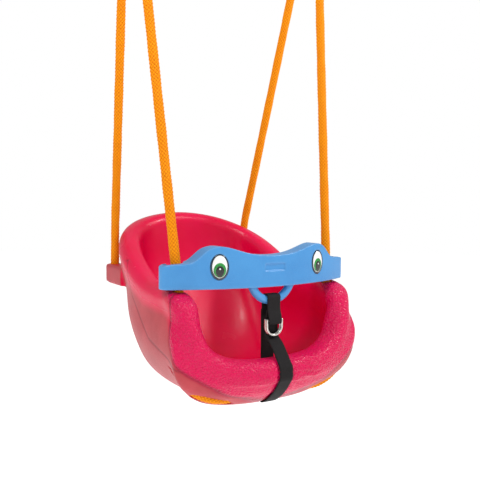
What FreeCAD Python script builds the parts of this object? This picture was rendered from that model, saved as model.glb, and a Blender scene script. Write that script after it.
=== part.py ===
"""Toddler bucket swing: moulded seat, T-bar guard, crotch belt and hanging ropes.

Two datums are used. The seat datum lies midway between the two rope holes of the
guard bar: X to the side, Y towards the backrest, Z up. The part's own origin lies
midway between the two hanging rings, so every seat-side piece is placed by one
offset, hang_back behind and hang_height below that origin.
"""
import FreeCAD, Part
import math
import os
from FreeCAD import Placement, Rotation, Vector

SIZES = {
    # hanging rings and the grooved thimbles that turn on them
    "hang_height": 622.0,
    "hang_back": 102.0,
    "hang_half": 186.0,
    "ring_radius": 27.0,
    "ring_wire": 5.0,
    "thimble_bore": 8.0,
    "thimble_groove": 11.0,
    "thimble_flange": 17.0,
    "thimble_width": 20.0,
    # ropes
    "rope_radius": 7.5,
    "rope_play": 1.25,
    "hole_half": 150.5,
    "lug_half": 144.0,
    "lug_back": 275.0,
    "lug_top": -25.0,
    "lug_bottom": -61.0,
    "lug_radius": 17.0,
    "lug_round": 5.0,
    "lug_root": 205.0,
    "knot_radius": 14.0,
    # seat shell
    "rim_front": 24.0,
    "rim_arm": 20.0,
    "belly_level": -241.0,
    "floor_level": -213.0,
    "belt_groove_half": 16.0,
    "belt_groove_depth": 3.0,
    "belt_slot": 11.0,
    "belt_slot_front": -42.0,
    "belt_slot_low": -262.0,
    "belt_slot_rise": 82.0,
    # guard bar
    "bar_half": 181.0,
    "bar_front": -57.0,
    "bar_rear": -27.0,
    "bar_bow": 46.6,
    "bar_bottom": -40.0,
    "bar_waist": 11.0,
    "bar_hump": 27.0,
    "bar_tab": -1.0,
    "hump_half": 96.0,
    "slot_travel": 12.0,
    "loop_radius": 40.0,
    "loop_tube": 7.0,
    "loop_level": -23.0,
    "loop_front": -46.0,
    "eye_width": 30.0,
    "eye_tall": 41.0,
    "eye_thick": 2.0,
    "plate_wide": 40.0,
    "plate_tall": 12.0,
    "plate_depth": 2.4,
    "plate_centre": 1.0,
    "plate_level": -8.0,
    # crotch belt
    "webbing_width": 25.0,
    "webbing_thick": 2.0,
    "buckle_level": -94.0,
    "buckle_wire": 1.9,
    "buckle_half": 14.5,
    "buckle_drop": 25.0,
}

# Centre line of the rolled rim, right half, from the front lip over the arm to the
# top of the backrest, in the seat datum.
RIM = [
    (0, -67, -177), (45, -65, -176), (88, -57, -170), (120, -48, -155),
    (140, -42, -131), (148, -38, -106), (150.5, -34, -84), (151, -22, -67),
    (151, -2, -61.5), (151, 26, -60.5), (151, 80, -56), (150, 140, -34),
    (143, 198, -3), (121, 246, 23), (83, 275, 41), (41, 286.5, 50), (0, 289.5, 53),
]
RIM_HALF_WIDTH, RIM_FRONT, RIM_BACK = 151.0, -67.0, 289.5

# Level lines of the shell: share of the height from the bottom to the rim, then the
# half width at the front and at the back, and the front and the back of the line.
OUTER_LEVELS = [
    (0.00, 0, 0, 30, 110), (0.02, 38, 40, 8, 132), (0.08, 84, 100, -20, 182), (0.20, 130, 140, -47, 217),
    (0.38, 162, 153, -62, 240), (0.60, 179, 158, -76, 266), (0.80, 177, 158, -85, 289),
]
INNER_LEVELS = [
    (0.75, 143, 128, -42, 268), (0.45, 141, 125, -36, 240), (0.18, 107, 100, -16, 200),
    (0.04, 68, 62, 14, 162), (0, 0, 0, 40, 125),
]
ROLL_POWER = 2.6
RIM_ANGLES = (-15, 20, 50, 90, 130, 160, 195)
STATIONS = 19
ARM_ENTRY = -48.0
OVERRUN = 3


def make_sheet(doc):
    """Spreadsheet of the driving dimensions, one alias to a cell."""
    sheet = doc.addObject("Spreadsheet::Sheet", "Sizes")
    for row, (alias, value) in enumerate(SIZES.items(), 1):
        sheet.set(f"A{row}", alias)
        sheet.set(f"B{row}", str(value))
        sheet.setAlias(f"B{row}", alias)
    doc.recompute()
    return sheet


def bind(obj, **properties):
    """Tie properties to spreadsheet expressions; S stands for the sheet."""
    for name, text in properties.items():
        obj.setExpression(name.replace("__", "."), text.replace("S.", "Sizes."))
    return obj


def hang(obj, label):
    """Name a seat-side piece and place it under the hanging rings."""
    obj.Label = label
    obj.setExpression("Placement.Base.y", "-Sizes.hang_back")
    obj.setExpression("Placement.Base.z", "-Sizes.hang_height")
    return obj


def feature(doc, name, shape):
    obj = doc.addObject("Part::Feature", name)
    obj.Shape = shape
    return obj


def route_wire(name, points, radii=None):
    """Straight runs joined by tangent arcs; prints the arc radii."""
    points = [Vector(*p) for p in points]
    edges, start, used = [], points[0], []
    for i in range(1, len(points) - 1):
        before, corner, after = points[i - 1:i + 2]
        run_in, run_out = corner - before, after - corner
        half_turn = run_in.getAngle(run_out) / 2
        shorter = min(run_in.Length, run_out.Length)
        radius = 0.45 * shorter / math.tan(half_turn)
        if radii and radii.get(i):
            radius = radii[i]
        back = radius * math.tan(half_turn)
        run_in.normalize()
        run_out.normalize()
        enter, leave = corner - run_in * back, corner + run_out * back
        bisector = (run_out - run_in).normalize()
        centre = corner + bisector * (radius / math.cos(half_turn))
        middle = centre - bisector * radius
        if (enter - start).Length > 1e-6:
            edges.append(Part.LineSegment(start, enter).toShape())
        edges.append(Part.Arc(enter, middle, leave).toShape())
        used.append(round(radius, 1))
        start = leave
    edges.append(Part.LineSegment(start, points[-1]).toShape())
    print(f"{name}: arc radii {used}")
    return Part.Wire(edges)


def sweep(name, section, path):
    """Sweep a closed section along a path and compare its volume."""
    solid = path.makePipeShell([section], True, False)
    if solid.Volume < 0:
        solid.reverse()
    want = Part.Face(section).Area * path.Length
    print(f"{name}: length {path.Length:.1f}, volume {solid.Volume:.0f}, section x length {want:.0f}")
    return solid


def round_section(radius, at, along):
    return Part.Wire(Part.makeCircle(radius, at, along))


def rim_curve():
    mirrored = [(-x, y, z) for x, y, z in RIM[-2:0:-1]]
    curve = Part.BSplineCurve()
    curve.interpolate(Points=[Vector(*p) for p in RIM + mirrored], PeriodicFlag=True)
    return curve


def rim_stations(curve):
    """Evenly spaced parameters along the right half, and a few beyond each end."""
    back = curve.parameter(Vector(*RIM[-1]))
    half = curve.length(curve.FirstParameter, back)
    whole = 2 * half
    steps = [half * i / (STATIONS - 1) for i in range(-OVERRUN, STATIONS + OVERRUN)]
    return [curve.parameterAtDistance(s % whole, curve.FirstParameter) for s in steps]


def level_point(rim, share, width_front, width_back, front, back, bottom):
    """Point of a level line below the given rim point."""
    along = (rim.y - RIM_FRONT) / (RIM_BACK - RIM_FRONT)
    width = width_front + (width_back - width_front) * max(along, 0) ** 1.5
    return Vector(rim.x / RIM_HALF_WIDTH * width, front + along * (back - front),
                  bottom + share * (rim.z - bottom))


def roll_point(angle):
    """Unit offset across and up from the centre of the rolled rim, slightly squared."""
    across, up = math.cos(angle), math.sin(angle)
    size = (abs(across) ** ROLL_POWER + abs(up) ** ROLL_POWER) ** (-1 / ROLL_POWER)
    return across * size, up * size


def shell_column(curve, parameter, sheet):
    """Closed wall profile at one station: belly, outer wall, rolled rim, seat, floor."""
    rim = curve.value(parameter)
    if abs(rim.x) < 1e-3:
        rim.x = 0.0
    along = curve.tangent(parameter)[0]
    outward = Vector(along.y, -along.x, 0).normalize()
    if rim.x == 0.0:
        along = Vector(math.copysign(1, along.x), 0, 0)
        outward = Vector(0, math.copysign(1, rim.y), 0)
    upward = outward.cross(along) if outward.cross(along).z > 0 else along.cross(outward)
    blend = min(max((rim.y - RIM_FRONT) / 60.0, 0), 1)
    roll = sheet.rim_front + blend * (sheet.rim_arm - sheet.rim_front)
    points = [level_point(rim, *level, sheet.belly_level) for level in OUTER_LEVELS]
    for angle in RIM_ANGLES:
        across, up = roll_point(math.radians(angle))
        points.append(rim + outward * (roll * across) + upward * (roll * up))
    points += [level_point(rim, *level, sheet.floor_level) for level in INNER_LEVELS]
    for point in points:
        if rim.x == 0.0:
            point.x = 0.0
    return points


def chord_parameters(lines):
    """Common parameters for several lines of points: their mean running length."""
    steps = [sum((line[i + 1] - line[i]).Length for line in lines) for i in range(len(lines[0]) - 1)]
    values = [0.0]
    for step in steps:
        values.append(values[-1] + step / len(lines))
    return values


def spline_through(points, parameters):
    curve = Part.BSplineCurve()
    curve.interpolate(Points=points, Parameters=parameters)
    return curve


def spline_surface(grid):
    """Surface through a grid of points: columns first, then the columns' poles."""
    down = chord_parameters(grid)
    columns = [spline_through(column, down) for column in grid]
    across = chord_parameters([list(line) for line in zip(*grid)])
    rows = [spline_through(list(line), across) for line in zip(*[c.getPoles() for c in columns])]
    poles = [list(line) for line in zip(*[row.getPoles() for row in rows])]
    surface = Part.BSplineSurface()
    surface.buildFromPolesMultsKnots(
        poles, rows[0].getMultiplicities(), columns[0].getMultiplicities(),
        rows[0].getKnots(), columns[0].getKnots(), False, False, 3, 3)
    surface.segment(across[OVERRUN], across[OVERRUN + STATIONS - 1], down[0], down[-1])
    return surface


def shell_solid(sheet):
    """Double-curved bucket: one smooth half and its mirror image, sewn at the middle."""
    curve = rim_curve()
    right = spline_surface([shell_column(curve, t, sheet) for t in rim_stations(curve)]).toShape()
    left = right.mirror(Vector(), Vector(1, 0, 0))
    shell = Part.makeShell([right, left])
    shell.sewShape()
    solid = Part.makeSolid(shell)
    if solid.Volume < 0:
        solid.reverse()
    print("shell", solid.isValid(), round(solid.Volume / 1000), "cm3", solid.BoundBox)
    return solid


def make_seat_shell(doc, sheet):
    """Bucket with two rear lugs, rope holes in the arms, belly slots and the belt passage."""
    bucket = feature(doc, "Bucket", shell_solid(sheet))
    lugs, cuts = [], []
    for side, word in ((-1, "left"), (1, "right")):
        lugs += make_lug(doc, side, word)
        hole = bind(doc.addObject("Part::Cylinder", f"LugHole_{word}"),
                    Radius="S.rope_radius + S.rope_play", Height="S.lug_top - S.lug_bottom + 40",
                    Placement__Base__x=f"{side} * S.lug_half", Placement__Base__y="S.lug_back",
                    Placement__Base__z="S.lug_bottom - 20")
        pocket = bind(doc.addObject("Part::Cylinder", f"LugPocket_{word}"),
                      Radius="S.knot_radius + 1", Height="2 * S.knot_radius + 10",
                      Placement__Base__x=f"{side} * S.lug_half", Placement__Base__y="S.lug_back",
                      Placement__Base__z="S.lug_bottom - 10")
        cuts += [hole, pocket]
    tunnel = rope_under_route(sheet, "rope channel", ARM_ENTRY + 8)
    section = round_section(sheet.rope_radius + sheet.rope_play, tunnel.Vertexes[0].Point,
                            tunnel.Edges[0].tangentAt(0))
    cuts.append(feature(doc, "RopeChannel", sweep("rope channel", section, tunnel)))
    cuts += make_belt_passage(doc, sheet)
    whole = doc.addObject("Part::MultiFuse", "BucketWithLugs")
    whole.Shapes = [bucket] + lugs
    tools = doc.addObject("Part::MultiFuse", "ShellCutters")
    tools.Shapes = cuts
    shell = doc.addObject("Part::Cut", "SeatShell")
    shell.Base, shell.Tool = whole, tools
    return hang(shell, "seat_shell")


def make_lug(doc, side, word):
    """Rearward ear that carries the rear rope: a boss and a web back into the wall."""
    boss = bind(doc.addObject("Part::Cylinder", f"LugBoss_{word}"),
                Radius="S.lug_radius", Height="S.lug_top - S.lug_bottom",
                Placement__Base__x=f"{side} * S.lug_half", Placement__Base__y="S.lug_back",
                Placement__Base__z="S.lug_bottom")
    web = bind(doc.addObject("Part::Box", f"LugWeb_{word}"),
               Length="2 * S.lug_radius", Width="S.lug_back - S.lug_root",
               Height="S.lug_top - S.lug_bottom",
               Placement__Base__x=f"{side} * S.lug_half - S.lug_radius",
               Placement__Base__y="S.lug_root", Placement__Base__z="S.lug_bottom")
    doc.recompute()
    return [round_edges(doc, boss, lambda edge: isinstance(edge.Curve, Part.Circle)),
            round_edges(doc, web, lambda edge: abs(edge.tangentAt(edge.FirstParameter).y) > 0.9)]


def round_edges(doc, base, chosen):
    """Fillet of the chosen edges of a lug's block."""
    radius = doc.Sizes.lug_round
    fillet = doc.addObject("Part::Fillet", f"{base.Name}_rounded")
    fillet.Base = base
    fillet.Edges = [(i, radius, radius) for i, edge in enumerate(base.Shape.Edges, 1) if chosen(edge)]
    return fillet


def make_belt_passage(doc, sheet):
    """Slot through the floor behind the lip and a shallow groove over the lip."""
    slot = bind(doc.addObject("Part::Box", "BeltSlot"),
                Length="2 * S.belt_groove_half", Width="S.belt_slot", Height="S.belt_slot_rise",
                Placement__Base__x="-S.belt_groove_half", Placement__Base__y="S.belt_slot_front",
                Placement__Base__z="S.belt_slot_low")
    section = strap_section(sheet.belt_groove_half, 2 * sheet.belt_groove_depth, *BELT_LOWER[:2])
    groove = sweep("belt groove", section, route_wire("belt groove", BELT_LOWER[:-1]))
    return [slot, feature(doc, "BeltGroove", groove)]


def strap_section(half_width, thickness, start, after):
    """Rectangle across a strap route that lies in the middle plane."""
    start, after = Vector(*start), Vector(*after)
    across = (after - start).normalize().cross(Vector(1, 0, 0)) * (thickness / 2)
    side = Vector(half_width, 0, 0)
    corners = [start - side - across, start + side - across, start + side + across, start - side + across]
    return Part.makePolygon(corners + corners[:1])


# Crotch belt, in the middle plane: the upper ply over the guard's loop, and the lower
# run from the buckle over the lip, under it, up through the floor slot to the loop.
BELT_UPPER = [(0, -54.3, -92), (0, -54.3, -52.4), (0, -37.7, -52.4), (0, -37.7, -84)]
BELT_LOWER = [
    (0, -57, -122.5), (0, -91.6, -165), (0, -92, -183.5), (0, -77.2, -203.4), (0, -63, -218),
    (0, -47.5, -229.4), (0, -36.5, -233.4), (0, -36.5, -86),
]


def front_leg(sheet, side, level):
    """Point of the straight front rope at a level of the seat datum."""
    share = level / (sheet.hang_height + bight_radius(sheet))
    return (side * (sheet.hole_half + share * (sheet.hang_half - sheet.hole_half)),
            share * bight_corner(sheet, sheet.hang_back, sheet.hang_height, -1), level)


def bight_radius(sheet):
    return sheet.thimble_groove + sheet.rope_radius


def bight_corner(sheet, run, rise, way):
    """Depth of the route's corner over the thimble for a leg with the given lean."""
    lean = math.atan2(run, rise)
    return sheet.hang_back + way * bight_radius(sheet) * math.tan(math.pi / 4 - lean / 2)


def rope_under_route(sheet, name, entry):
    """Inside one arm, down the side wall, across the belly and up the other side."""
    half = [front_leg(sheet, 1, entry), front_leg(sheet, 1, -84), (163, -10, -122),
            (161, -22, -160), (148, -38, -190), (121, -45, -207), (88, -45, -215.5), (46, -30, -217)]
    mirrored = [(-x, y, z) for x, y, z in reversed(half)]
    return route_wire(name, half + [(0, -12, -220)] + mirrored)


def make_ropes(doc, sheet):
    """Rope of each side, from the stopper knot over the thimble to the arm, and the under run."""
    for side, word in ((-1, "left"), (1, "right")):
        route, radii = side_rope_points(sheet, side)
        path = route_wire(f"rope_{word}", route, radii)
        section = round_section(sheet.rope_radius, path.Vertexes[0].Point, path.Edges[0].tangentAt(0))
        hang(feature(doc, f"Rope_{word}", sweep(f"rope_{word}", section, path)), f"rope_{word}")
    path = rope_under_route(sheet, "rope_under", ARM_ENTRY)
    section = round_section(sheet.rope_radius, path.Vertexes[0].Point, path.Edges[0].tangentAt(0))
    hang(feature(doc, "Rope_under", sweep("rope_under", section, path)), "rope_under")


def side_rope_points(sheet, side):
    """Knot, lug, thimble and arm; the two corners at the thimble share its radius."""
    top, crown = side * sheet.hang_half, sheet.hang_height + bight_radius(sheet)
    rear_y = bight_corner(sheet, sheet.lug_back - sheet.hang_back, sheet.hang_height - sheet.lug_top, 1)
    front_y = bight_corner(sheet, sheet.hang_back, sheet.hang_height, -1)
    points = [
        (side * sheet.lug_half, sheet.lug_back, sheet.lug_bottom + 14),
        (side * sheet.lug_half, sheet.lug_back, 30),
        (top, rear_y, crown),
        (top, front_y, crown),
        front_leg(sheet, side, ARM_ENTRY),
    ]
    return points, {1: 60.0, 2: bight_radius(sheet), 3: bight_radius(sheet)}


def make_hangers(doc, sheet):
    """Welded steel rings and the grooved thimbles that turn on their lower wire."""
    for side, word in ((-1, "left"), (1, "right")):
        ring = bind(doc.addObject("Part::Torus", f"HangRing_{word}"),
                    Radius1="S.ring_radius", Radius2="S.ring_wire",
                    Placement__Base__x=f"{side} * S.hang_half", Placement__Base__z="S.ring_radius")
        ring.Placement = Placement(Vector(side * sheet.hang_half, 0, sheet.ring_radius),
                                   Rotation(Vector(1, 0, 0), 90))
        ring.Label = f"hang_ring_{word}"
        make_thimble(doc, sheet, side, word)


def make_thimble(doc, sheet, side, word):
    """Spool turned about X: bore over the ring wire, rounded groove for the rope."""
    body = doc.addObject("PartDesign::Body", f"Thimble_{word}")
    sketch = body.newObject("Sketcher::SketchObject", f"ThimbleProfile_{word}")
    plane = [f for f in body.Origin.OriginFeatures if f.Role == "XY_Plane"][0]
    sketch.AttachmentSupport = [(plane, "")]
    sketch.MapMode = "FlatFace"
    half, bore = sheet.thimble_width / 2, sheet.thimble_bore
    flange, groove = sheet.thimble_flange, sheet.thimble_groove
    corners = [(-half, bore), (half, bore), (half, flange), (half - 2, flange),
               (half - 3, groove), (3 - half, groove), (2 - half, flange), (-half, flange)]
    for i, (x, y) in enumerate(corners):
        x2, y2 = corners[(i + 1) % len(corners)]
        sketch.addGeometry(Part.LineSegment(Vector(x, y, 0), Vector(x2, y2, 0)))
    spin = body.newObject("PartDesign::Revolution", f"ThimbleTurn_{word}")
    spin.Profile = sketch
    spin.ReferenceAxis = (sketch, ["H_Axis"])
    spin.Angle = 360
    body.Tip = spin
    body.setExpression("Placement.Base.x", f"{side} * Sizes.hang_half")
    body.Label = f"thimble_{word}"


def make_knots(doc, sheet):
    """Stopper knots under the rear lugs."""
    for side, word in ((-1, "left"), (1, "right")):
        knot = bind(doc.addObject("Part::Ellipsoid", f"KnotBody_{word}"),
                    Radius1="S.knot_radius * 0.9", Radius2="S.knot_radius", Radius3="S.knot_radius",
                    Placement__Base__x=f"{side} * S.lug_half", Placement__Base__y="S.lug_back",
                    Placement__Base__z="S.lug_bottom + S.knot_radius * 0.9 + 1")
        bore = bind(doc.addObject("Part::Cylinder", f"KnotBore_{word}"),
                    Radius="S.rope_radius + 0.1", Height="15",
                    Placement__Base__x=f"{side} * S.lug_half", Placement__Base__y="S.lug_back",
                    Placement__Base__z="S.lug_bottom + 13.7")
        whole = doc.addObject("Part::Cut", f"Knot_{word}")
        whole.Base, whole.Tool = knot, bore
        hang(whole, f"knot_{word}")


def arc_through(a, b, c):
    return Part.Arc(Vector(*a, 0), Vector(*b, 0), Vector(*c, 0))


def make_bar_blank(doc, sheet):
    """Bowed plan outline, padded upwards, common with the humped front outline."""
    plan = doc.addObject("Sketcher::SketchObject", "BarPlan")
    for edge in bar_plan(sheet):
        plan.addGeometry(edge)
    tall = doc.addObject("Part::Extrusion", "BarPlanSolid")
    tall.Base, tall.DirMode, tall.Dir, tall.Solid = plan, "Custom", Vector(0, 0, 1), True
    bind(tall, LengthFwd="S.bar_hump - S.bar_bottom + 20")
    plan.setExpression("Placement.Base.z", "Sizes.bar_bottom - 10")

    face = doc.addObject("Sketcher::SketchObject", "BarFace")
    for edge in bar_outline(sheet):
        face.addGeometry(edge)
    face.Placement = Placement(Vector(0, 120, 0), Rotation(Vector(1, 0, 0), 90))
    deep = doc.addObject("Part::Extrusion", "BarFaceSolid")
    deep.Base, deep.DirMode, deep.Dir, deep.Solid = face, "Custom", Vector(0, -1, 0), True
    bind(deep, LengthFwd="240")
    blank = doc.addObject("Part::MultiCommon", "BarBlank")
    blank.Shapes = [tall, deep]
    return blank


def bar_plan(sheet):
    """Plan outline of the bar: two equal bowed arcs closed by round ends."""
    half_deep = (sheet.bar_rear - sheet.bar_front) / 2
    reach = sheet.bar_half - half_deep
    depth, turn = bar_surface(sheet, reach)
    radius = half_deep * math.cos(turn)
    along, across = radius * math.cos(turn), radius * math.sin(turn)
    front = (reach + across, bar_surface(sheet, reach + across)[0])
    rear = (reach - across, bar_surface(sheet, reach - across)[0] + 2 * half_deep)
    tip = (reach + along, depth + half_deep + across)
    front_far, tip_far, rear_far = [(-x, y) for x, y in (front, tip, rear)]
    return [
        arc_through(front_far, (0, sheet.bar_front), front),
        arc_through(front, tip, rear),
        arc_through(rear, (0, sheet.bar_rear), rear_far),
        arc_through(rear_far, tip_far, front_far),
    ]


def bar_outline(sheet):
    """Front outline of the bar: flat tabs, a hump over each eye, a waist between them."""
    half, low, tab = sheet.bar_half, sheet.bar_bottom, sheet.bar_tab
    top = [(-half, tab - 4), (-half + 14, tab), (-136, tab + 4), (-sheet.hump_half - 17, sheet.bar_hump - 5),
           (-sheet.hump_half, sheet.bar_hump), (-sheet.hump_half + 20, sheet.bar_hump - 3),
           (-48, sheet.bar_waist + 5), (0, sheet.bar_waist)]
    top += [(-x, z) for x, z in reversed(top[:-1])]
    curve = Part.BSplineCurve()
    curve.interpolate(Points=[Vector(x, z, 0) for x, z in top])
    first, last = Vector(*top[0], 0), Vector(*top[-1], 0)
    corner_a, corner_b = Vector(half, low, 0), Vector(-half, low, 0)
    return [curve, Part.LineSegment(last, corner_a), Part.LineSegment(corner_a, corner_b),
            Part.LineSegment(corner_b, first)]


def make_guard_bar(doc, sheet):
    """T-bar guard: bowed bar with rope slots, eye seats, a blank plate recess and a belt loop."""
    blank = make_bar_blank(doc, sheet)
    loop = bind(doc.addObject("Part::Torus", "BeltLoop"), Radius1="S.loop_radius", Radius2="S.loop_tube")
    loop.Placement = Placement(Vector(0, sheet.loop_front, sheet.loop_level), Rotation(Vector(1, 0, 0), 90))
    trim = bind(doc.addObject("Part::Box", "LoopTrim"), Length="140", Width="60", Height="60",
                Placement__Base__x="-70", Placement__Base__y="S.loop_front - 30",
                Placement__Base__z="S.bar_bottom + 6")
    half_loop = doc.addObject("Part::Cut", "BeltLoopLower")
    half_loop.Base, half_loop.Tool = loop, trim
    whole = doc.addObject("Part::MultiFuse", "BarWithLoop")
    whole.Shapes = [blank, half_loop]
    tools = doc.addObject("Part::Compound", "BarCutters")
    tools.Links = make_rope_slots(doc, sheet) + make_bar_recesses(doc, sheet)
    bar = doc.addObject("Part::Cut", "GuardBar")
    bar.Base, bar.Tool = whole, tools
    return hang(bar, "guard_bar")


def make_rope_slots(doc, sheet):
    """Slots along the bar that leave the splaying ropes free as the bar slides up."""
    lean = math.atan2(front_leg(sheet, 1, 100.0)[1], 100.0)
    slots = []
    for side, word in ((-1, "left"), (1, "right")):
        radius = sheet.rope_radius + sheet.rope_play
        inner, outer = sheet.hole_half - 3, sheet.hole_half + sheet.slot_travel
        ends = [Part.makeCylinder(radius, 140, Vector(side * x, 0, -70)) for x in (inner, outer)]
        middle = Part.makeBox(outer - inner, 2 * radius, 140,
                              Vector(min(side * inner, side * outer), -radius, -70))
        slot = feature(doc, f"RopeSlot_{word}", ends[0].fuse(ends[1]).fuse(middle).removeSplitter())
        slot.Placement = Placement(Vector(), Rotation(Vector(1, 0, 0), -math.degrees(lean)))
        slots.append(slot)
    return slots


def bar_surface(sheet, x):
    """Depth and turn of the bowed front face at a place along the bar."""
    radius = (sheet.bar_half ** 2 + sheet.bar_bow ** 2) / (2 * sheet.bar_bow)
    turn = math.asin(x / radius)
    return sheet.bar_front + radius * (1 - math.cos(turn)), turn


def eye_blank(doc, sheet, name, x, deeper):
    """Oval disc square to the bar's face, its front just under the face."""
    depth, turn = bar_surface(sheet, x)
    disc = Part.makeCylinder(1.0, sheet.eye_thick, Vector(0, 0, -sheet.eye_thick / 2))
    stretch = FreeCAD.Matrix()
    stretch.scale(sheet.eye_width / 2 + deeper, sheet.eye_tall / 2 + deeper, 1)
    disc = disc.transformGeometry(stretch)
    disc.rotate(Vector(), Vector(1, 0, 0), 90)
    disc.rotate(Vector(), Vector(0, 0, 1), math.degrees(turn))
    disc.translate(Vector(x, depth + sheet.eye_thick / 2 + 0.2, -5))
    return feature(doc, name, bake(disc))


def make_bar_recesses(doc, sheet):
    """Pockets for the eyes and the small blank plate field."""
    pockets = [eye_blank(doc, sheet, f"EyePocket_{word}", side * sheet.hump_half, 0.0)
               for side, word in ((-1, "left"), (1, "right"))]
    for side, pocket in zip((-1, 1), pockets):
        turn = bar_surface(sheet, side * sheet.hump_half)[1]
        outward = Vector(math.sin(turn), -math.cos(turn), 0)
        pocket.Shape = pocket.Shape.fuse(pocket.Shape.translated(outward * 1.5)).removeSplitter()
    plate = bind(doc.addObject("Part::Box", "PlateField"),
                 Length="S.plate_wide", Width="10", Height="S.plate_tall",
                 Placement__Base__x="S.plate_centre - S.plate_wide / 2",
                 Placement__Base__y="S.bar_front - 10 + S.plate_depth",
                 Placement__Base__z="S.plate_level - S.plate_tall / 2")
    return pockets + [plate]


def make_eyes(doc, sheet):
    for side, word in ((-1, "left"), (1, "right")):
        hang(eye_blank(doc, sheet, f"Eye_{word}", side * sheet.hump_half, 0.0), f"eye_{word}")


def bake(shape):
    """Shape with its own placement turned into geometry."""
    matrix = shape.Placement.toMatrix()
    plain = shape.copy()
    plain.Placement = Placement()
    return plain.transformGeometry(matrix)


def make_buckle(doc, sheet):
    """Two D-rings of bent wire that hang in the strap's sewn end."""
    half, wire = sheet.buckle_half, sheet.buckle_wire
    top, low = sheet.buckle_level, sheet.buckle_level - sheet.buckle_drop
    for shift, word in ((-2.4, "front"), (2.4, "rear")):
        y = BELT_UPPER[0][1] + shift
        left, right = Vector(-half, y, top), Vector(half, y, top)
        left_low, right_low = Vector(-half, y, low + half), Vector(half, y, low + half)
        path = Part.Wire([
            Part.LineSegment(left, left_low).toShape(),
            Part.Arc(left_low, Vector(0, y, low), right_low).toShape(),
            Part.LineSegment(right_low, right).toShape()])
        bow = path.makePipeShell([round_section(wire, left, Vector(0, 0, -1))], True, False)
        bar = Part.makeCylinder(wire, 2 * half, left, Vector(1, 0, 0))
        knuckles = [Part.makeSphere(wire, corner) for corner in (left, right)]
        ring = bow.fuse([bar] + knuckles).removeSplitter()
        hang(feature(doc, f"DRing_{word}", ring), f"d_ring_{word}")


def make_belt(doc, sheet):
    """Upper ply over the loop, its sewn end round the D-rings, and the long lower run."""
    half, thick = sheet.webbing_width / 2, sheet.webbing_thick
    upper = sweep("belt_upper", strap_section(half, thick, *BELT_UPPER[:2]),
                  route_wire("belt_upper", BELT_UPPER, {1: 8.2, 2: 8.2}))
    middle = BELT_UPPER[0][1]
    end = Part.makeBox(2 * half, 9.8, 8.6, Vector(-half, middle - 4.9, sheet.buckle_level - 4.3))
    bores = [Part.makeCylinder(sheet.buckle_wire + 0.3, 4 * half,
                               Vector(-2 * half, middle + y, sheet.buckle_level), Vector(1, 0, 0))
             for y in (-2.4, 2.4)]
    hang(feature(doc, "BeltUpper", upper.fuse(end).cut(bores[0]).cut(bores[1])), "belt_upper")
    lower = sweep("belt_lower", strap_section(half, thick, *BELT_LOWER[:2]),
                  route_wire("belt_lower", BELT_LOWER))
    hang(feature(doc, "BeltLower", lower), "belt_lower")


def node_objects(doc):
    names = ["seat_shell", "guard_bar", "rope_under", "belt_upper", "belt_lower", "d_ring_front", "d_ring_rear"]
    for word in ("left", "right"):
        names += [f"hang_ring_{word}", f"thimble_{word}", f"rope_{word}", f"knot_{word}", f"eye_{word}"]
    return [doc.getObjectsByLabel(name)[0] for name in names]


def main():
    doc = FreeCAD.newDocument("ToddlerBucketSwing")
    sheet = make_sheet(doc)
    make_seat_shell(doc, sheet)
    make_guard_bar(doc, sheet)
    make_ropes(doc, sheet)
    make_knots(doc, sheet)
    make_hangers(doc, sheet)
    make_eyes(doc, sheet)
    make_buckle(doc, sheet)
    make_belt(doc, sheet)
    doc.recompute()
    for obj in doc.Objects:
        if "Invalid" in obj.State or "Error" in obj.State:
            raise RuntimeError(f"{obj.Name} did not compute: {obj.State}")
    pieces = node_objects(doc)
    for piece in pieces:
        if piece.Shape.isNull() or not piece.Shape.isValid():
            raise RuntimeError(f"{piece.Label} has no valid shape")
        print(piece.Label, len(piece.Shape.Solids), "solids", round(piece.Shape.Volume / 1000, 1), "cm3")
    os.makedirs("parts", exist_ok=True)
    for piece in pieces:
        piece.Shape.exportStep(f"parts/{piece.Label}.step")


if __name__ == "__main__":
    main()
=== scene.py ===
"""Looks of the toddler bucket swing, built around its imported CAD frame."""

import math

import bmesh
import bpy
import numpy as np
from mathutils import Matrix, Vector


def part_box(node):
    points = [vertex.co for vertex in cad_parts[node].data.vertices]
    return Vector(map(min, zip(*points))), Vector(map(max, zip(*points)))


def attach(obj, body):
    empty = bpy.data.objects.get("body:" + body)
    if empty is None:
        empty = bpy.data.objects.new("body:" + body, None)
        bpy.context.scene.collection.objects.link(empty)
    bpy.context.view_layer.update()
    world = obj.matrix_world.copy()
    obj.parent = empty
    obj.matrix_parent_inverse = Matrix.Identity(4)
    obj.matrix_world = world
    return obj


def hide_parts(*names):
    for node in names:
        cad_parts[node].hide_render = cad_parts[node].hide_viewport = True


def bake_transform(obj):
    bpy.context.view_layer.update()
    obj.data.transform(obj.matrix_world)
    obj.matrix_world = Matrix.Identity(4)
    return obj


# Seat datum of the design (midway between the guard bar's rope holes), in the row frame.
DATUM = Vector((0.0, -0.102, -0.622))

# The camera's azimuth, pitch and roll in degrees.
CAMERA_TURN = (31.8, 3.6, 0.5)
# How far it stands before the seat datum, left of it and above it.
CAMERA_PLACE = (1.1158, 0.0272, 0.1024)
SENSOR_WIDTH = 36.0
LENS = 49.85

# Strength of the even light that all but the camera sees.
AMBIENT = 0.50
LIGHT_TARGET = (0, 0.08, -0.08)
# Name, azimuth, elevation, distance, size and power of each soft box.
LAMPS = [
    ("key", 52, 50, 1.6, 0.26, 8.0),
    ("right", -56, 40, 1.6, 0.22, 10.0),
    ("front", 8, 24, 1.9, 0.60, 1.5),
]
FLOOR_LEVEL = -1.32
FLOOR_RADIUS = 9.0
FLOOR_GLOW = 0.65

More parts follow.
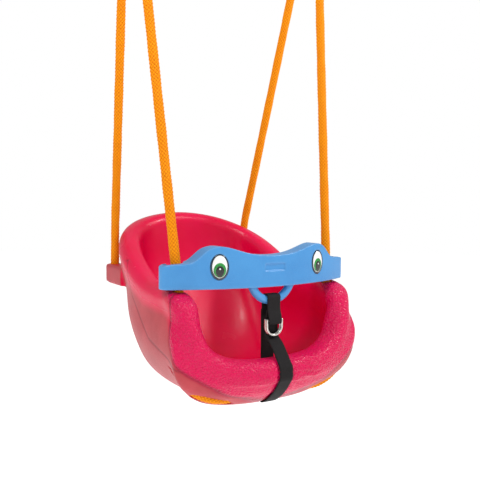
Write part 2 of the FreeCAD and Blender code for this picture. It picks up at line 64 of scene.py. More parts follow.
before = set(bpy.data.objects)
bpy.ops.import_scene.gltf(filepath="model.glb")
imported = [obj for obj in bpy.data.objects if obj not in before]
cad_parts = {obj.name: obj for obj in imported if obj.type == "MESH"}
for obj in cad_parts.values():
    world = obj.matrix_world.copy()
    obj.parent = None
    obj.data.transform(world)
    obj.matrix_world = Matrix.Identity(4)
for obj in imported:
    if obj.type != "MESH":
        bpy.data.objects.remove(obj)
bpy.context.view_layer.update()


def place(x, y, z):
    """Point of the seat datum in the row frame."""
    return DATUM + Vector((x, y, z))


# ---------------------------------------------------------------- camera and light


def make_camera():
    """Camera at the seat's front left, a little above the bar."""
    azimuth, pitch, roll = [math.radians(angle) for angle in CAMERA_TURN]
    before, left, above = CAMERA_PLACE
    ahead = Vector((math.sin(azimuth), math.cos(azimuth), 0))
    right = Vector((math.cos(azimuth), -math.sin(azimuth), 0))
    up = Vector((0, 0, 1))
    eye = place(0, 0, 0) - before * ahead - left * right + above * up
    view = ahead * math.cos(pitch) - up * math.sin(pitch)
    level = up * math.cos(pitch) + ahead * math.sin(pitch)
    across = right * math.cos(roll) + level * math.sin(roll)
    over = level * math.cos(roll) - right * math.sin(roll)
    camera = bpy.data.objects.new("camera", bpy.data.cameras.new("camera"))
    camera.data.sensor_width = SENSOR_WIDTH
    camera.data.lens = LENS
    turn = Matrix((across, over, -view)).transposed()
    camera.matrix_world = Matrix.Translation(eye) @ turn.to_4x4()
    bpy.context.scene.collection.objects.link(camera)
    bpy.context.scene.camera = camera


def add_area_light(name, azimuth, elevation, distance, size, power):
    """White soft box that looks at the seat from a direction given as the camera's is."""
    turn, rise = math.radians(azimuth), math.radians(elevation)
    flat = math.cos(rise)
    away = Vector((-math.sin(turn) * flat, -math.cos(turn) * flat, math.sin(rise)))
    data = bpy.data.lights.new(name, "AREA")
    data.shape = "DISK"
    data.size = size
    data.energy = power
    light = bpy.data.objects.new(name, data)
    light.location = place(*LIGHT_TARGET) + away * distance
    light.rotation_euler = away.to_track_quat("Z", "Y").to_euler()
    bpy.context.scene.collection.objects.link(light)


def make_studio():
    """White backdrop for the camera, dimmer light for the rest, soft boxes and a pale floor."""
    world = bpy.data.worlds.new("studio")
    world.use_nodes = True
    tree = world.node_tree
    background = tree.nodes["Background"]
    background.inputs["Color"].default_value = (1.0, 1.0, 1.0, 1)
    seen = tree.nodes.new("ShaderNodeLightPath").outputs["Is Camera Ray"]
    strength = math_node(tree, "MULTIPLY_ADD", seen, 1.0 - AMBIENT, AMBIENT)
    tree.links.new(strength, background.inputs["Strength"])
    bpy.context.scene.world = world
    bpy.context.scene.view_settings.view_transform = "Standard"
    for lamp in LAMPS:
        add_area_light(*lamp)
    add_floor()


def add_floor():
    """Wide pale floor that glows evenly, so no shadow edge shows."""
    bpy.ops.mesh.primitive_circle_add(
        vertices=96, radius=FLOOR_RADIUS, fill_type="NGON", location=(0, 0, FLOOR_LEVEL))
    floor = bpy.context.object
    floor.name = "studio_floor"
    material = new_material("studio_floor")
    shader = shader_of(material)
    shader.inputs["Base Color"].default_value = (0.90, 0.90, 0.90, 1)
    shader.inputs["Roughness"].default_value = 0.95
    shader.inputs["Specular IOR Level"].default_value = 0.0
    shader.inputs["Emission Color"].default_value = (1, 1, 1, 1)
    shader.inputs["Emission Strength"].default_value = FLOOR_GLOW
    floor.data.materials.append(material)


# ---------------------------------------------------------------- node helpers


def new_material(name):
    material = bpy.data.materials.new(name)
    material.use_nodes = True
    return material


def add_node(tree, kind, **settings):
    """Shader node with its own attributes set by name and its inputs by Input_Name keys."""
    node = tree.nodes.new(kind)
    for key, value in settings.items():
        if hasattr(node, key):
            setattr(node, key, value)
        else:
            node.inputs[key.replace("_", " ")].default_value = value
    return node


def object_coordinates(tree):
    return tree.nodes.new("ShaderNodeTexCoord").outputs["Object"]


def noise(tree, scale, detail=3.0, roughness=0.55):
    node = add_node(tree, "ShaderNodeTexNoise", Scale=scale, Detail=detail, Roughness=roughness)
    tree.links.new(object_coordinates(tree), node.inputs["Vector"])
    return node.outputs["Fac"]


def math_node(tree, operation, first, second=0.0, third=0.0):
    node = tree.nodes.new("ShaderNodeMath")
    node.operation = operation
    for slot_index, value in enumerate((first, second, third)):
        if isinstance(value, (int, float)):
            node.inputs[slot_index].default_value = value
        else:
            tree.links.new(value, node.inputs[slot_index])
    return node.outputs[0]


def ramp(tree, factor, stops):
    """Colour ramp from (position, colour) stops."""
    node = tree.nodes.new("ShaderNodeValToRGB")
    elements = node.color_ramp.elements
    while len(elements) < len(stops):
        elements.new(0.5)
    for element, (position, colour) in zip(elements, stops):
        element.position = position
        element.color = (*colour, 1)
    tree.links.new(factor, node.inputs["Fac"])
    return node.outputs["Color"]


def mix_colour(tree, factor, first, second):
    node = tree.nodes.new("ShaderNodeMix")
    node.data_type = "RGBA"
    sockets = [s for s in node.inputs if s.enabled]
    for socket, value in zip(sockets, (factor, first, second)):
        if isinstance(value, tuple):
            socket.default_value = (*value, 1)
        elif isinstance(value, (int, float)):
            socket.default_value = value
        else:
            tree.links.new(value, socket)
    return [s for s in node.outputs if s.enabled][0]


def bump(tree, height, strength, distance):
    node = add_node(tree, "ShaderNodeBump", Strength=strength, Distance=distance)
    tree.links.new(height, node.inputs["Height"])
    return node.outputs["Normal"]


def attribute(tree, name):
    node = tree.nodes.new("ShaderNodeAttribute")
    node.attribute_name = name
    return node.outputs["Fac"]


def shader_of(material):
    return material.node_tree.nodes["Principled BSDF"]


def set_inputs(shader, **settings):
    """Constant values of a shader's sockets, by Input_Name keys."""
    for key, value in settings.items():
        shader.inputs[key.replace("_", " ")].default_value = value


def cells(tree, scale):
    """Distance within smooth round cells, for a pebbled surface."""
    node = add_node(tree, "ShaderNodeTexVoronoi", Scale=scale, feature="SMOOTH_F1")
    tree.links.new(object_coordinates(tree), node.inputs["Vector"])
    return node.outputs["Distance"]


# ---------------------------------------------------------------- materials


def seat_plastic():
    """Glossy magenta moulded polyethylene, pebbled on the front roll and matte on the sides, with
    painted shade and sheen on the sides and painted shade in the moulded grooves.
    """
    material = new_material("seat_plastic")
    tree = material.node_tree
    shader = shader_of(material)
    roll = attribute(tree, "front_roll")
    side = attribute(tree, "outer_side")
    seam_shade = attribute(tree, "seam_shade")
    cloud = noise(tree, 9, 4)
    body = ramp(tree, cloud, [(0.3, (0.76, 0.0005, 0.052)), (0.7, (0.84, 0.001, 0.074))])
    # Darker, paler pink on the outer sides: painted shade and painted sheen. The sides' higher
    # roughness below is their real matte finish.
    patches = noise(tree, 22, 5)
    side_shade_sheen = ramp(tree, patches, [(0.3, (0.45, 0.036, 0.048)), (0.7, (0.56, 0.058, 0.075))])
    body_with_side_shade = mix_colour(tree, side, body, side_shade_sheen)
    grains = noise(tree, 900, 2)
    speckle = ramp(tree, grains, [(0.38, (0.62, 0.0005, 0.062)), (0.62, (0.82, 0.002, 0.105))])
    colour = mix_colour(tree, roll, body_with_side_shade, speckle)
    # Dark along the pressed-in moulded lines: painted shade in the grooves.
    groove = math_node(tree, "MULTIPLY", seam_shade, 0.75)
    colour = mix_colour(tree, groove, colour, (0.20, 0.002, 0.018))
    tree.links.new(colour, shader.inputs["Base Color"])
    rough = math_node(tree, "MULTIPLY_ADD", side, 0.18, 0.22)
    rough = math_node(tree, "MULTIPLY_ADD", roll, 0.06, rough)
    tree.links.new(math_node(tree, "MULTIPLY_ADD", cloud, 0.08, rough), shader.inputs["Roughness"])
    set_inputs(shader, Specular_IOR_Level=0.28, Coat_Weight=0.05, Coat_Roughness=0.12,
               Subsurface_Weight=0.05, Subsurface_Radius=(0.006, 0.001, 0.001))
    pebble = math_node(tree, "MULTIPLY", cells(tree, 330.0), roll)
    fine = math_node(tree, "MULTIPLY_ADD", noise(tree, 1300, 2), 0.10, pebble)
    tree.links.new(bump(tree, fine, 1.0, 0.0022), shader.inputs["Normal"])
    return material


def bar_plastic():
    """Sky blue polyethylene with a fine, softened pebble, with a painted highlight on convex edges
    and painted shade in hollows.
    """
    material = new_material("bar_plastic")
    tree = material.node_tree
    shader = shader_of(material)
    cloud = noise(tree, 14, 4)
    body = ramp(tree, cloud, [(0.3, (0.042, 0.25, 0.60)), (0.7, (0.060, 0.31, 0.68))])
    pointed = tree.nodes.new("ShaderNodeNewGeometry").outputs["Pointiness"]
    # Paler on convex edges: painted highlight.
    edge = ramp(tree, pointed, [(0.50, (0, 0, 0)), (0.58, (1, 1, 1))])
    lit_edge_shaded_hollow = mix_colour(tree, math_node(tree, "MULTIPLY", edge, 0.35), body, (0.28, 0.53, 0.82))
    # Darker in concave hollows and round recesses: painted shade.
    hollow_shade = ramp(tree, pointed, [(0.40, (1, 1, 1)), (0.485, (0, 0, 0))])
    lit_edge_shaded_hollow = mix_colour(tree, math_node(tree, "MULTIPLY", hollow_shade, 0.7), lit_edge_shaded_hollow, (0.010, 0.08, 0.26))
    tree.links.new(lit_edge_shaded_hollow, shader.inputs["Base Color"])
    tree.links.new(math_node(tree, "MULTIPLY_ADD", cloud, 0.12, 0.30), shader.inputs["Roughness"])
    set_inputs(shader, Coat_Weight=0.2, Coat_Roughness=0.2)
    height = math_node(tree, "MULTIPLY_ADD", noise(tree, 700, 3), 0.5, cells(tree, 520.0))
    tree.links.new(bump(tree, height, 0.45, 0.0008), shader.inputs["Normal"])
    return material


def rope_yarn():
    """Orange polypropylene braid; the mesh carries the strands, the nodes the filaments and a
    painted shade in the gaps between strands.
    """
    material = new_material("rope_yarn")
    tree = material.node_tree
    shader = shader_of(material)
    crest = attribute(tree, "crest")
    # Darker down into the gaps between strands, full orange on their crests: painted shade.
    body = ramp(tree, crest, [(0.0, (0.40, 0.065, 0.0)), (0.45, (0.86, 0.24, 0.0)),
                              (1.0, (0.98, 0.38, 0.0))])
    patch = ramp(tree, noise(tree, 45, 4), [(0.3, (0.84, 0.23, 0.0)), (0.7, (0.98, 0.36, 0.0))])
    tree.links.new(mix_colour(tree, 0.25, body, patch), shader.inputs["Base Color"])
    set_inputs(shader, Roughness=0.6, Specular_IOR_Level=0.15)
    tree.links.new(bump(tree, noise(tree, 2600, 2), 0.35, 0.0004), shader.inputs["Normal"])
    return material


def webbing():
    """Black polypropylene webbing with fine crosswise ribs, with painted shade in the rib valleys.
    """
    material = new_material("webbing")
    tree = material.node_tree
    shader = shader_of(material)
    rib = attribute(tree, "rib")
    yarn = noise(tree, 1800, 3)
    # Darker in the rib valleys, lighter on the rib tops: painted shade; the yarn noise is random
    # tone.
    shade = ramp(tree, math_node(tree, "MULTIPLY_ADD", yarn, 0.35, rib),
                 [(0.2, (0.0010, 0.0008, 0.0009)), (1.0, (0.014, 0.011, 0.012))])
    tree.links.new(shade, shader.inputs["Base Color"])
    set_inputs(shader, Roughness=0.70, Specular_IOR_Level=0.25)
    height = math_node(tree, "MULTIPLY_ADD", yarn, 0.5, rib)
    tree.links.new(bump(tree, height, 0.6, 0.0005), shader.inputs["Normal"])
    return material


def metal(name, light, dark, roughness, grain):
    """Plated steel with soft blotches and fine scratches."""
    material = new_material(name)
    tree = material.node_tree
    shader = shader_of(material)
    blotch = ramp(tree, noise(tree, grain, 5), [(0.3, dark), (0.7, light)])
    tree.links.new(blotch, shader.inputs["Base Color"])
    set_inputs(shader, Metallic=1.0)
    scratch = noise(tree, grain * 14, 4)
    rough = math_node(tree, "MULTIPLY_ADD", scratch, 0.22, roughness)
    tree.links.new(rough, shader.inputs["Roughness"])
    tree.links.new(bump(tree, scratch, 0.15, 0.0003), shader.inputs["Normal"])
    return material


def gloss_paint(name, light, dark, scale=90.0):
    """Printed, lacquered plastic."""
    material = new_material(name)
    tree = material.node_tree
    shader = shader_of(material)
    print_colour = ramp(tree, noise(tree, scale, 3), [(0.35, dark), (0.65, light)])
    tree.links.new(print_colour, shader.inputs["Base Color"])
    set_inputs(shader, Roughness=0.22, Coat_Weight=0.6, Coat_Roughness=0.06)
    tree.links.new(bump(tree, noise(tree, 400, 2), 0.08, 0.0004), shader.inputs["Normal"])
    return material


# ---------------------------------------------------------------- mesh helpers


def link_mesh(name, vertices, faces, material, body):
    """Smooth-shaded piece made from plain lists, riding on a body."""
    mesh = bpy.data.meshes.new(name)
    mesh.from_pydata([tuple(v) for v in vertices], [], [tuple(f) for f in faces])
    return finish_piece(bpy.data.objects.new(name, mesh), material, body)


def finish_piece(piece, material, body):
    mesh = piece.data
    mesh.polygons.foreach_set("use_smooth", [True] * len(mesh.polygons))
    mesh.materials.clear()
    mesh.materials.append(material)
    mesh.update()
    if piece.name not in bpy.context.scene.collection.objects:
        bpy.context.scene.collection.objects.link(piece)
    if body:
        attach(piece, body)
    return piece


def evaluated_mesh(holder):
    """New mesh of an object as its curve or modifiers shape it."""
    graph = bpy.context.evaluated_depsgraph_get()
    return bpy.data.meshes.new_from_object(holder.evaluated_get(graph))


def store_attribute(mesh, name, values):
    layer = mesh.attributes.new(name, "FLOAT", "POINT")
    layer.data.foreach_set("value", np.asarray(values, np.float32))


def read_route(points):
    """Points of the NURBS line whose control points are the route's."""
    curve = bpy.data.curves.new("route", "CURVE")
    curve.dimensions = "3D"
    spline = curve.splines.new("NURBS")
    spline.points.add(len(points) - 1)
    for target, point in zip(spline.points, points):
        target.co = (*point, 1)
    spline.order_u = 3
    spline.use_endpoint_u = True
    curve.resolution_u = 24
    holder = bpy.data.objects.new("route", curve)
    bpy.context.scene.collection.objects.link(holder)
    bpy.context.view_layer.update()
    flat = evaluated_mesh(holder)
    line = np.array([v.co for v in flat.vertices])
    bpy.data.objects.remove(holder)
    bpy.data.curves.remove(curve)
    bpy.data.meshes.remove(flat)
    return line


def walk(line, step):
    """Evenly spaced points of a line, with the distance walked at each."""
    lengths = np.linalg.norm(np.diff(line, axis=0), axis=1)
    along = np.concatenate([[0], np.cumsum(lengths)])
    count = max(2, int(round(along[-1] / step)))
    at = np.linspace(0, along[-1], count + 1)
    return np.stack([np.interp(at, along, line[:, axis]) for axis in range(3)], axis=1), at


def carry_frames(line):
    """Two unit vectors across the line at each point, carried along without twist."""
    tangents = np.gradient(line, axis=0)
    tangents /= np.linalg.norm(tangents, axis=1)[:, None]
    first = np.cross(tangents[0], (1.0, 0.0, 0.0))
    if np.linalg.norm(first) < 0.1:
        first = np.cross(tangents[0], (0.0, 1.0, 0.0))
    across = np.zeros_like(line)
    for index, tangent in enumerate(tangents):
        first = first - tangent * np.dot(first, tangent)
        first = first / np.linalg.norm(first)
        across[index] = first
    return across, np.cross(tangents, across)


def tube_faces(rings, around):
    """Quads between successive rings and a fan-free cap at each end."""
    ring, spot = np.meshgrid(np.arange(rings - 1), np.arange(around), indexing="ij")
    after = (spot + 1) % around
    low, high = ring * around, (ring + 1) * around
    quads = np.stack([low + spot, low + after, high + after, high + spot], axis=-1).reshape(-1, 4)
    caps = [list(range(around))[::-1], list(range((rings - 1) * around, rings * around))]
    return [list(q) for q in quads] + caps


def make_tube(name, line, radius_at, around, step, material, body):
    """Closed tube along a line; radius_at gives radius and crest for walked distance and angle."""
    points, at = walk(line, step)
    first, second = carry_frames(points)
    angle = np.linspace(0, 2 * math.pi, around, endpoint=False)
    radius, crest = radius_at(at[:, None], angle[None, :])
    cosine, sine = np.cos(angle)[None, :, None], np.sin(angle)[None, :, None]
    ring = cosine * first[:, None, :] + sine * second[:, None, :]
    vertices = (points[:, None, :] + radius[:, :, None] * ring).reshape(-1, 3)
    piece = link_mesh(name, vertices, tube_faces(len(points), around), material, body)
    store_attribute(piece.data, "crest", crest.ravel())
    return piece


def braid(radius, pitch, count, depth):
    """Radius and crest of a diagonal braid with so many strands each way."""
    def surface(along, angle):
        u = count * angle / (2 * math.pi) + along / pitch
        v = count * angle / (2 * math.pi) - along / pitch
        over = (np.round(u) + np.round(v)) % 2
        ridge_u = np.abs(np.cos(math.pi * (u - np.round(u))))
        ridge_v = np.abs(np.cos(math.pi * (v - np.round(v))))
        over_u = ridge_u ** BRAID_FULL * ridge_v ** BRAID_THIN
        over_v = ridge_u ** BRAID_THIN * ridge_v ** BRAID_FULL
        crest = np.where(over == 0, over_u, over_v)
        sway = 0.00018 * np.sin(along * 61) + 0.00012 * np.sin(along * 143 + 2 * angle)
        return radius - depth * (1 - crest) + sway, crest
    return surface


def solid_copy(node, name, voxel, rounds):
    """The node's closed shape again as an even mesh with softly rounded edges."""
    work = bmesh.new()
    work.from_mesh(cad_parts[node].data)
    bmesh.ops.remove_doubles(work, verts=work.verts, dist=1e-5)
    mesh = bpy.data.meshes.new(name)
    work.to_mesh(mesh)
    work.free()
    holder = bpy.data.objects.new(name + "_source", mesh)
    bpy.context.scene.collection.objects.link(holder)
    remesh = holder.modifiers.new("remesh", "REMESH")
    remesh.mode = "VOXEL"
    remesh.voxel_size = voxel
    smooth = holder.modifiers.new("smooth", "SMOOTH")
    smooth.factor = 0.5
    smooth.iterations = rounds
    bpy.context.view_layer.update()
    result = evaluated_mesh(holder)
    bpy.data.objects.remove(holder)
    bpy.data.meshes.remove(mesh)
    result.name = name
    return bpy.data.objects.new(name, result)


def read_vertices(mesh):
    points = np.zeros(len(mesh.vertices) * 3)
    mesh.vertices.foreach_get("co", points)
    normals = np.zeros(len(mesh.vertices) * 3)
    mesh.vertices.foreach_get("normal", normals)
    return points.reshape(-1, 3), normals.reshape(-1, 3)


def smoothstep(value, low, high):
    share = np.clip((value - low) / (high - low), 0, 1)
    return share * share * (3 - 2 * share)


def bell(distance, width):
    return np.exp(-(distance / width) ** 2)


def distance_to_line(points, line):
    best = np.full(len(points), 9.0)
    for start, end in zip(line[:-1], line[1:]):
        run = np.subtract(end, start)
        share = np.clip((points - start) @ run / (run @ run), 0, 1)
        best = np.minimum(best, np.linalg.norm(points - (start + share[:, None] * run), axis=1))
    return best


# ---------------------------------------------------------------- ropes

ROPE_STEP = 0.0009
ROPE_AROUND = 48
BRAID_RADIUS = 0.0082
BRAID_DEPTH = 0.0017
BRAID_PITCH = 0.0064
BRAID_COUNT = 8
# How full a strand is along its own run where it lies on top, and across it.
BRAID_FULL = 0.35
BRAID_THIN = 0.9

# Control points of the ropes' lines in the seat datum, right side.
SIDE_ROUTE = [
    (0.144, 0.275, -0.047), (0.144, 0.275, 0.030), (0.149, 0.256, 0.102), (0.180, 0.1387, 0.5536),
    (0.186, 0.1225, 0.629), (0.186, 0.102, 0.6445), (0.186, 0.081, 0.629), (0.1811, 0.0743, 0.5514),
    (0.1478, -0.0065, -0.048),
]
UNDER_ROUTE = [
    (0.1478, -0.0065, -0.048), (0.1458, -0.0113, -0.084), (0.163, -0.010, -0.122),
    (0.161, -0.022, -0.160), (0.148, -0.038, -0.190), (0.121, -0.045, -0.207),
    (0.088, -0.045, -0.2155), (0.046, -0.030, -0.217),
]
UNDER_MIDDLE = (0.0, -0.012, -0.220)


KNOT_STRANDS = 3
KNOT_LOOP = 0.0088
KNOT_TILT = 0.62
KNOT_LEAN = 0.6


def make_ropes(material):
    surface = braid(BRAID_RADIUS, BRAID_PITCH, BRAID_COUNT, BRAID_DEPTH)
    for side, word in ((-1, "left"), (1, "right")):
        line = read_route([place(side * x, y, z) for x, y, z in SIDE_ROUTE])
        rope = make_tube(f"rope_{word}_braid", line, surface, ROPE_AROUND, ROPE_STEP,
                         material, "seat")
        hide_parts(f"rope_{word}")
        knot = make_knot(word, material)
    points = [place(x, y, z) for x, y, z in UNDER_ROUTE] + [place(*UNDER_MIDDLE)]
    points += [place(-x, y, z) for x, y, z in reversed(UNDER_ROUTE)]
    line = read_route(points)
    rope = make_tube("rope_under_braid", line, surface, ROPE_AROUND, ROPE_STEP,
                     material, "seat")
    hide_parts("rope_under")


def make_knot(word, material):
    """Wall knot: three strands of the rope's end tucked round it, under the lug."""
    low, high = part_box(f"knot_{word}")
    centre = np.array((low + high) / 2)
    reach = np.array((high - low) / 2)
    strand = braid(0.0042, 0.0040, 6, 0.0006)
    parts = []
    for index in range(KNOT_STRANDS):
        lead = index * 2 * math.pi / KNOT_STRANDS
        turn = np.linspace(0, 2 * math.pi, 73)
        ring = np.stack([np.cos(turn), np.sin(turn), KNOT_TILT * np.cos(turn + KNOT_LEAN)], axis=1)
        ring = ring * KNOT_LOOP
        cosine, sine = math.cos(lead), math.sin(lead)
        spin = np.array([[cosine, -sine, 0], [sine, cosine, 0], [0, 0, 1]])
        line = ring @ spin.T * (reach / reach.max()) + centre
        name = f"knot_{word}_strand_{index}"
        parts.append(make_tube(name, line, strand, 20, 0.0008, material, "seat"))
    with bpy.context.temp_override(active_object=parts[0], selected_editable_objects=parts,
                                   object=parts[0], selected_objects=parts):
        bpy.ops.object.join()
    parts[0].name = f"knot_{word}_wall_knot"
    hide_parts(f"knot_{word}")
    return parts[0]


# ---------------------------------------------------------------- seat shell

SEAT_VOXEL = 0.0024
SEAT_SMOOTHING = 5
# Centre line of the rolled rim, right half.
RIM_LINE = [
    (0, -0.067, -0.177), (0.045, -0.065, -0.176), (0.088, -0.057, -0.170),
    (0.120, -0.048, -0.155), (0.140, -0.042, -0.131), (0.148, -0.038, -0.106),
    (0.1505, -0.034, -0.084), (0.151, -0.022, -0.067), (0.151, -0.002, -0.0615),
    (0.151, 0.026, -0.0605), (0.151, 0.080, -0.056), (0.150, 0.140, -0.034),
    (0.143, 0.198, -0.003), (0.121, 0.246, 0.023), (0.083, 0.275, 0.041),
    (0.041, 0.2865, 0.050), (0, 0.2895, 0.053),
]
# Where the pebbled front roll ends: depth of its edge at each height.
ROLL_EDGE_HEIGHT = (-0.245, -0.235, -0.223, -0.211, -0.191, -0.175,
                    -0.160, -0.140, -0.115, -0.078, -0.060, -0.046)
ROLL_EDGE_DEPTH = (-0.030, -0.040, -0.054, -0.064, -0.0675, -0.064,
                   -0.057, -0.046, -0.034, -0.0265, -0.026, -0.020)
# Mould parting line on the outer sides: its height at each depth.
PARTING_DEPTH = (-0.057, -0.026, 0.0, 0.048, 0.094, 0.132, 0.158)
PARTING_HEIGHT = (-0.160, -0.143, -0.137, -0.126, -0.096, -0.068, -0.009)
BACK_CREASE = [(0.119, 0.236, 0.040), (0.106, 0.236, 0.004), (0.110, 0.211, -0.079),
               (0.106, 0.170, -0.140), (0.097, 0.122, -0.183)]
BOWL_CENTRE = (0.0, 0.110, -0.060)
# Half widths of the moulded lines, and how far each moves the surface out.
BORDER_WIDTH, BORDER_LIFT = 0.0019, -0.0007
PARTING_WIDTH, PARTING_LIFT = 0.0015, -0.0005
CREASE_WIDTH, CREASE_LIFT = 0.008, 0.0022
RIB_LEVELS = (-0.165, -0.178)
RIB_WIDTH, RIB_LIFT = 0.0016, 0.0014
WRINKLE_LIFT = 0.0012


def make_seat(material):
    """The shell's closed shape with its moulded lines pressed in, its finishes marked and the masks
    of its painted shade and sheen stored.
    """
    shell = solid_copy("seat_shell", "seat_shell_moulding", SEAT_VOXEL, SEAT_SMOOTHING)
    points, normals = read_vertices(shell.data)
    spot = points - np.array(DATUM)
    fold = np.abs(spot) * (1, 0, 0) + spot * (0, 1, 1)
    y, z = fold.T[1:]
    out = spot - BOWL_CENTRE
    outward = np.sum(out * normals, axis=1) / np.linalg.norm(out, axis=1)
    rim = distance_to_line(fold, np.array(RIM_LINE))
    edge = np.interp(z, ROLL_EDGE_HEIGHT, ROLL_EDGE_DEPTH)
    behind = y - edge - 0.016 * smoothstep(normals[:, 2], 0.1, 0.8)
    roll = smoothstep(behind, 0.002, -0.002) * smoothstep(rim, 0.075, 0.060)
    side = smoothstep(behind, 0.000, 0.003) * smoothstep(outward, 0.10, 0.35)
    side = side * smoothstep(rim, 0.020, 0.032)
    border = bell(y - edge, BORDER_WIDTH) * smoothstep(outward, 0.1, 0.3)
    border = border * smoothstep(rim, 0.012, 0.020)
    line_height = np.interp(y, PARTING_DEPTH, PARTING_HEIGHT)
    on_side = smoothstep(outward, 0.2, 0.5) * smoothstep(y, -0.058, -0.050)
    on_side = on_side * smoothstep(y, 0.170, 0.160)
    parting = bell((z - line_height) * 0.8, PARTING_WIDTH) * on_side
    crease = bell(distance_to_line(fold, np.array(BACK_CREASE)), CREASE_WIDTH)
    crease = crease * smoothstep(outward, -0.1, -0.4)
    lift = BORDER_LIFT * border + PARTING_LIFT * parting + CREASE_LIFT * crease
    lift += belt_marks(spot, normals)
    points += normals * lift[:, None]
    shell.data.vertices.foreach_set("co", points.ravel())
    store_attribute(shell.data, "front_roll", roll)
    store_attribute(shell.data, "outer_side", side)
    # Mask of the pressed-in moulded lines, used for their painted shade.
    store_attribute(shell.data, "seam_shade", np.clip(border + parting, 0, 1))
    finish_piece(shell, material, "seat")
    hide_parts("seat_shell")


def belt_marks(spot, normals):
    """Moulded ribs left of the belt groove and shrink wrinkles right of it, on the front roll."""
    x, y, z = spot.T
    front = smoothstep(y, -0.070, -0.080) * smoothstep(-normals[:, 1], 0.1, 0.4)
    ribs = sum(bell(z - height, RIB_WIDTH) for height in RIB_LEVELS)
    ribs = ribs * smoothstep(x, -0.050, -0.046) * smoothstep(x, -0.024, -0.028)
    ripple = np.sin(z * 640 + 1.4 * np.sin(x * 120)) * np.sin(x * 46 - 0.7)
    patch = smoothstep(x, 0.030, 0.042) * smoothstep(x, 0.078, 0.062)
    patch = patch * smoothstep(z, -0.196, -0.184) * smoothstep(z, -0.150, -0.160)
    return front * (RIB_LIFT * ribs + WRINKLE_LIFT * ripple * patch)


# ---------------------------------------------------------------- guard bar and eyes

BAR_RADIUS = 0.3745
BAR_FRONT = -0.057
BAR_VOXEL = 0.0011
BAR_SMOOTHING = 6
EYE_SIDE = 0.096
EYE_LEVEL = -0.005
EYE_INSET = 0.0002
# Rings and corners of each printed layer, how much its rim drops, and how far its skirt goes in.
DOME_RINGS, DOME_AROUND = 10, 64
DOME_DROP = 0.5
DOME_SKIRT = 0.0006


def make_bar(material):
    bar = solid_copy("guard_bar", "guard_bar_moulding", BAR_VOXEL, BAR_SMOOTHING)
    finish_piece(bar, material, "bar")
    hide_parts("guard_bar")


def dome(name, centre, across, normal, half_width, half_height, height, material):
    """Low oval cushion with a rounded edge, square to a face, on an oval grid."""
    over = Vector((0, 0, 1))
    vertices = [centre + normal * height]
    for ring in range(1, DOME_RINGS + 1):
        share = ring / DOME_RINGS
        rise = height * (1 - DOME_DROP * share ** 8)
        for step in range(DOME_AROUND):
            angle = 2 * math.pi * step / DOME_AROUND
            vertices.append(centre + across * half_width * share * math.cos(angle)
                            + over * half_height * share * math.sin(angle) + normal * rise)
    base = len(vertices)
    skirt = normal * (DOME_DROP * height + DOME_SKIRT)
    vertices += [v - skirt for v in vertices[base - DOME_AROUND:base]]
    steps = [(step, (step + 1) % DOME_AROUND) for step in range(DOME_AROUND)]
    faces = [(0, 1 + here, 1 + there) for here, there in steps]
    for ring in range(DOME_RINGS):
        low, high = 1 + ring * DOME_AROUND, 1 + (ring + 1) * DOME_AROUND
        faces += [(low + here, high + here, high + there, low + there) for here, there in steps]
    faces.append(list(range(base, base + DOME_AROUND))[::-1])
    return link_mesh(name, vertices, faces, material, "bar")


def make_eyes():
    """Generic cartoon eyes, each a stack of printed layers; the outline stands for the insert."""
    navy = gloss_paint("eye_navy", (0.012, 0.035, 0.065), (0.004, 0.015, 0.030))
    white = gloss_paint("eye_white", (0.93, 0.93, 0.91), (0.86, 0.86, 0.85))
    green = gloss_paint("eye_green", (0.025, 0.33, 0.05), (0.012, 0.20, 0.03), 240.0)
    black = gloss_paint("eye_black", (0.012, 0.012, 0.012), (0.004, 0.004, 0.004))
    turn = math.asin(EYE_SIDE / BAR_RADIUS)
    depth = BAR_FRONT + BAR_RADIUS * (1 - math.cos(turn))
    # Name, half width, half height, shift up, height above the bar and paint of each layer.
    layers = [
        ("outline", 0.0148, 0.0203, 0.0, 0.0006, navy),
        ("white", 0.0122, 0.0177, 0.0006, 0.0012, white),
        ("iris", 0.0104, 0.0118, -0.0043, 0.0018, green),
        ("pupil", 0.0074, 0.0093, -0.0064, 0.0023, black),
        ("glint", 0.0016, 0.0017, -0.0027, 0.0027, white),
    ]
    for side, word in ((-1, "left"), (1, "right")):
        normal = Vector((side * math.sin(turn), -math.cos(turn), 0))
        across = Vector((math.cos(turn), side * math.sin(turn), 0))
        base = place(side * EYE_SIDE, depth, EYE_LEVEL) - normal * EYE_INSET
        for label, half_width, half_height, shift, height, paint in layers:
            centre = base + Vector((0, 0, shift))
            piece = dome(f"eye_{word}_{label}", centre, across, normal,
                         half_width, half_height, height, paint)
            if label == "outline":
                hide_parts(f"eye_{word}")


# ---------------------------------------------------------------- crotch belt

# Control points of the strap's middle line in the seat datum.
LOWER_BELT = [
    (0, -0.0482, -0.100), (0, -0.0482, -0.112), (0, -0.0487, -0.1225), (0, -0.060, -0.1285),
    (0, -0.070, -0.1385), (0, -0.0864, -0.1586), (0, -0.0916, -0.165), (0, -0.0918, -0.1743),
    (0, -0.092, -0.1835), (0, -0.087, -0.1902), (0, -0.0772, -0.2034), (0, -0.063, -0.218),
    (0, -0.0475, -0.2294), (0, -0.0415, -0.2316), (0, -0.0365, -0.2334), (0, -0.0365, -0.2281),
    (0, -0.0365, -0.180), (0, -0.0365, -0.120), (0, -0.0355, -0.078),
]
UPPER_BELT = [
    (0, -0.0512, -0.078), (0, -0.0500, -0.086), (0, -0.0488, -0.095), (0, -0.0500, -0.1005),
    (0, -0.0543, -0.1005), (0, -0.0590, -0.1005), (0, -0.0600, -0.095), (0, -0.0580, -0.086),
    (0, -0.0545, -0.078), (0, -0.0543, -0.066), (0, -0.055, -0.0535), (0, -0.046, -0.0525),
    (0, -0.037, -0.0535), (0, -0.0377, -0.066), (0, -0.0377, -0.084),
]
WEBBING_WIDTH = 0.025
WEBBING_THICK = 0.002
WEBBING_STEP = 0.0004
RIB_PITCH = 0.0016
RIB_ACROSS = 0.0034


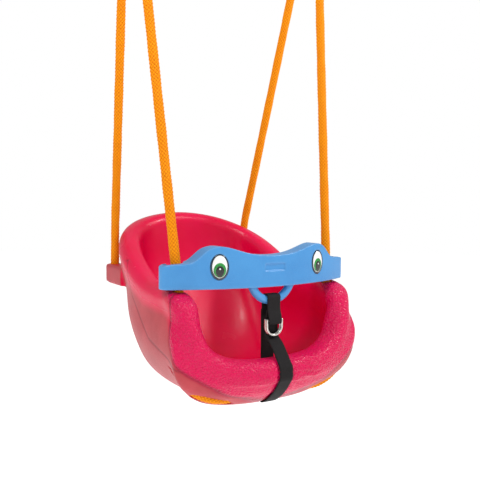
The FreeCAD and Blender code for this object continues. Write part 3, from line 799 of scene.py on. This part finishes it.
def make_strap(name, route, material, body):
    """Webbing strap in the middle plane: flat section with full edges and crosswise ribs."""
    points, at = walk(read_route([place(*p) for p in route]), WEBBING_STEP)
    tangents = np.gradient(points, axis=0)
    tangents /= np.linalg.norm(tangents, axis=1)[:, None]
    across = np.array((1.0, 0.0, 0.0))
    outward = np.cross(tangents, across)
    share = np.linspace(-1, 1, 15)
    edge = 1 - 0.55 * np.abs(share) ** 12
    upper = np.stack([share * WEBBING_WIDTH / 2, edge * WEBBING_THICK / 2], axis=1)
    section = np.concatenate([upper, upper[::-1] * (1, -1)])
    along_wave = np.sin(2 * math.pi * at / RIB_PITCH)[:, None]
    across_wave = np.cos(math.pi * section[None, :, 0] / RIB_ACROSS)
    rib = 0.5 + 0.5 * along_wave * across_wave
    thick = section[None, :, 1] * (0.90 + 0.14 * rib)
    vertices = points[:, None, :] + section[None, :, 0, None] * across
    vertices = vertices + thick[:, :, None] * outward[:, None, :]
    faces = tube_faces(len(points), len(section))
    strap = link_mesh(name, vertices.reshape(-1, 3), faces, material, body)
    store_attribute(strap.data, "rib", rib.ravel())
    return strap


def make_belt(material):
    """Upper ply on the bar; the lower run stretches between the seat's lip and the bar."""
    upper = make_strap("belt_upper_webbing", UPPER_BELT, material, "bar")
    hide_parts("belt_upper")
    lower = make_strap("belt_lower_webbing", LOWER_BELT, material, None)
    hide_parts("belt_lower")
    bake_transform(lower)


# ---------------------------------------------------------------- fittings


def paint_node(node, material):
    if not node.material_slots:
        node.data.materials.append(material)
    for material_slot in node.material_slots:
        material_slot.material = material


def paint_fittings():
    zinc = metal("zinc_steel", (0.66, 0.67, 0.68), (0.50, 0.51, 0.53), 0.28, 60.0)
    nickel = metal("nickel", (0.80, 0.78, 0.74), (0.66, 0.63, 0.58), 0.18, 120.0)
    for word in ("left", "right"):
        paint_node(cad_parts[f"hang_ring_{word}"], zinc)
        paint_node(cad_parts[f"thimble_{word}"], zinc)
    for word in ("front", "rear"):
        paint_node(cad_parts[f"d_ring_{word}"], nickel)


make_camera()
make_ropes(rope_yarn())
make_seat(seat_plastic())
make_bar(bar_plastic())
make_eyes()
make_belt(webbing())
paint_fittings()
make_studio()
